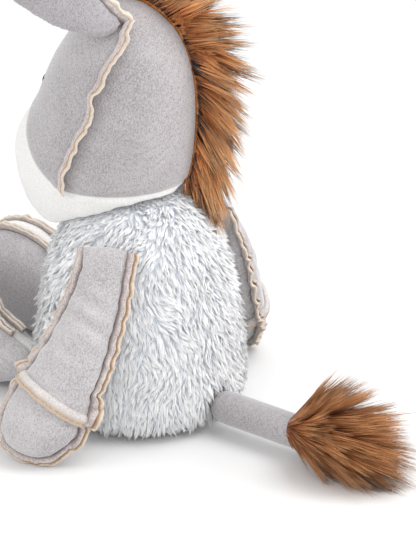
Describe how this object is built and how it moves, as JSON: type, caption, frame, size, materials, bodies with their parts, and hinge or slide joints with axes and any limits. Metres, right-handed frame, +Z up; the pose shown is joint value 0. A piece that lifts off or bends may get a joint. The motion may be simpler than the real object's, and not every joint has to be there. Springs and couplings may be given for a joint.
{
  "type": "plush donkey dog toy",
  "caption": "Seated plush donkey dog toy with stuffed head, ears, arms, legs and tufted tail on flexible sewn roots, and a squeaker inside.",
  "frame": {"origin": "middle of the flat seat, on the floor", "axes": "+Z up, the toy faces -Y, its left is +X"},
  "size_m": [0.2329, 0.3727, 0.3189],
  "materials": {
    "grey_velour": "soft nap",
    "pale_velour": "soft nap",
    "white_velour": "soft nap",
    "raw_edge": "frayed cut edge",
    "plush_fur": "long pile",
    "brown_fur": "long hair",
    "fibre_filling": "loose fibre",
    "thread": "matte thread",
    "squeaker_plastic": "matte"
  },
  "bodies": {
    "body": {"body_front": "plush_fur", "body_back_left": "plush_fur", "body_back_right": "plush_fur", "body_base": "plush_fur", "body_filling_lower": "fibre_filling", "body_filling_upper": "fibre_filling", "squeaker_base": "squeaker_plastic", "squeaker_bellows": "squeaker_plastic"},
    "squeaker_cap": {"squeaker_cap": "squeaker_plastic"},
    "head": {"head_side_left": "grey_velour", "head_side_right": "grey_velour", "head_face": "grey_velour", "head_chin": "white_velour", "head_filling": "fibre_filling", "cheek_seam_left": "raw_edge", "cheek_seam_right": "raw_edge", "eye_left": "thread", "eye_right": "thread", "mane": "brown_fur"},
    "ear_left": {"ear_left_outer": "grey_velour", "ear_left_lining": "pale_velour", "ear_left_seam": "raw_edge"},
    "ear_right": {"ear_right_outer": "grey_velour", "ear_right_lining": "pale_velour", "ear_right_seam": "raw_edge"},
    "arm_left": {"arm_left_sleeve_outer": "grey_velour", "arm_left_sleeve_inner": "grey_velour", "arm_left_hoof_outer": "grey_velour", "arm_left_hoof_inner": "grey_velour", "arm_left_seams": "raw_edge", "arm_left_filling": "fibre_filling"},
    "arm_right": {"arm_right_sleeve_outer": "grey_velour", "arm_right_sleeve_inner": "grey_velour", "arm_right_hoof_outer": "grey_velour", "arm_right_hoof_inner": "grey_velour", "arm_right_seams": "raw_edge", "arm_right_filling": "fibre_filling"},
    "leg_left": {"leg_left_side_outer": "grey_velour", "leg_left_side_inner": "grey_velour", "leg_left_gusset": "pale_velour", "leg_left_seam_outer": "raw_edge", "leg_left_seam_inner": "raw_edge", "leg_left_filling": "fibre_filling"},
    "leg_right": {"leg_right_side_outer": "grey_velour", "leg_right_side_inner": "grey_velour", "leg_right_gusset": "pale_velour", "leg_right_seam_outer": "raw_edge", "leg_right_seam_inner": "raw_edge", "leg_right_filling": "fibre_filling"},
    "tail": {"tail_sleeve": "grey_velour", "tail_filling": "fibre_filling", "tail_tuft": "brown_fur"}
  },
  "joints": [
    {"name": "neck_turn", "type": "hinge", "parent": "body", "child": "head", "pos_m": [0, 0, 0], "axis": [0, 0, 1], "range_deg": [-44, 16], "stiffness_Nm_per_rad": 0.2},
    {"name": "shoulder_left", "type": "hinge", "parent": "body", "child": "arm_left", "pos_m": [0.0502, 0.01827, 0.1155], "axis": [0.342, -0.9397, 0], "range_deg": [0, 100]},
    {"name": "shoulder_right", "type": "hinge", "parent": "body", "child": "arm_right", "pos_m": [-0.0502, 0.01827, 0.1155], "axis": [0.342, 0.9397, 0], "range_deg": [0, 100]},
    {"name": "hip_left", "type": "hinge", "parent": "body", "child": "leg_left", "pos_m": [0.036, -0.05992, 0.0225], "axis": [-1, 0, 0], "range_deg": [-30, 40]},
    {"name": "hip_right", "type": "hinge", "parent": "body", "child": "leg_right", "pos_m": [-0.036, -0.05992, 0.0225], "axis": [-1, 0, 0], "range_deg": [-30, 40]},
    {"name": "ear_left", "type": "hinge", "parent": "head", "child": "ear_left", "pos_m": [0.02773, 0.00883, 0.24392], "axis": [-0.4995, 0.4045, 0.766], "range_deg": [-10, 60], "stiffness_Nm_per_rad": 0.05},
    {"name": "ear_right", "type": "hinge", "parent": "head", "child": "ear_right", "pos_m": [-0.02511, -0.0147, 0.24392], "axis": [-0.0336, -0.6419, -0.766], "range_deg": [-10, 60], "stiffness_Nm_per_rad": 0.05},
    {"name": "tail_wag", "type": "hinge", "parent": "body", "child": "tail", "pos_m": [0, 0.066, 0.0155], "axis": [0, 0, 1], "range_deg": [-35, 35], "stiffness_Nm_per_rad": 0.05},
    {"name": "squeaker_squeeze", "type": "slide", "parent": "body", "child": "squeaker_cap", "axis": [0, 0, -1], "range_m": [0, 0.008], "stiffness_N_per_m": 200, "deforming": ["squeaker_bellows"]}
  ]
}
